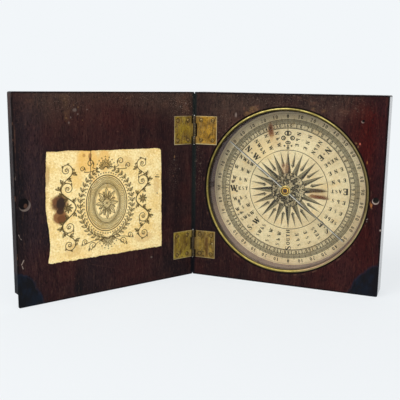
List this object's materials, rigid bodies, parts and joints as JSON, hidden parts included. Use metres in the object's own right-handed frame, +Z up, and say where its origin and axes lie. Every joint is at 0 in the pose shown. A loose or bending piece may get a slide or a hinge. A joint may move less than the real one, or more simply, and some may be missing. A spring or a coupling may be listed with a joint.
{
  "type": "surveyor's compass",
  "caption": "Surveyor's compass let into one leaf of a folding wooden case, with brass hinges, a glazed card, a bar needle and a needle arrest.",
  "frame": {"origin": "middle of the base leaf's lower edge, which it stands on, directly below the needle's pivot", "axes": "+X from the hinge to the base leaf's free edge, +Y out of the base leaf's back, +Z up along the hinge"},
  "size_m": [0.2349, 0.1478, 0.15],
  "materials": {
    "mahogany": "old polished mahogany, worn, with ink stains at the lower corners",
    "label_paper": "yellowed engraved paper, foxed and scorched",
    "hinge_brass": "aged olive brass",
    "ring_brass": "lacquered brass, worn bright",
    "steel": "polished steel with light wear",
    "clear_glass": "clear flat glass",
    "lining_card": "mauve-grey paper over board",
    "printed_paper": "aged engraved paper",
    "card_backing": "plain brown board",
    "agate": "polished dark agate"
  },
  "bodies": {
    "base": {"base_case": "mahogany", "upper_base_plate": "hinge_brass", "lower_base_plate": "hinge_brass", "upper_hinge_pin": "steel", "base_hinge_screws": "hinge_brass", "retaining_ring": "ring_brass", "cover_glass": "clear_glass", "lining_hoop": "lining_card", "compass_card": "printed_paper", "card_board": "card_backing", "pivot_pin": "steel", "lever_cock": "ring_brass", "lever_pin": "steel", "cock_screws": "hinge_brass", "lever_spring": "ring_brass", "spring_rivet": "hinge_brass"},
    "lid": {"lid_panel": "mahogany", "paper_label": "label_paper", "upper_lid_plate": "hinge_brass", "lower_lid_plate": "hinge_brass", "lower_hinge_pin": "steel", "lid_hinge_screws": "hinge_brass"},
    "plunger": {"arrest_plunger": "ring_brass"},
    "lever": {"arrest_lever": "ring_brass"},
    "collar": {"lifting_collar": "ring_brass"},
    "needle": {"needle_bar": "steel", "needle_cap": "ring_brass", "cap_jewel": "agate"}
  },
  "joints": [
    {"name": "lid_hinge", "type": "hinge", "parent": "base", "child": "lid", "pos_m": [-0.0751, -0.01025, 0.075], "axis": [0, 0, -1], "range_deg": [-121.5, 58.5]},
    {"name": "plunger_press", "type": "slide", "parent": "base", "child": "plunger", "axis": [0, 1, 0], "range_m": [0, 0.0007]},
    {"name": "lever_tilt", "type": "hinge", "parent": "base", "child": "lever", "pos_m": [0.0348, 0.00665, 0.0743], "axis": [0.0201, 0, 0.9998], "range_deg": [0, 1.16]},
    {"name": "collar_lift", "type": "slide", "parent": "base", "child": "collar", "axis": [0, -1, 0], "range_m": [0, 0.0007]},
    {"name": "needle_spin", "type": "hinge", "parent": "collar", "child": "needle", "pos_m": [0, -0.004, 0.075], "axis": [0, -1, 0], "continuous": true}
  ],
  "couplings": [
    {"joint": "lever_tilt", "follows": "plunger_press", "rad_per_m": 28.73},
    {"joint": "collar_lift", "follows": "plunger_press", "ratio": 1}
  ]
}
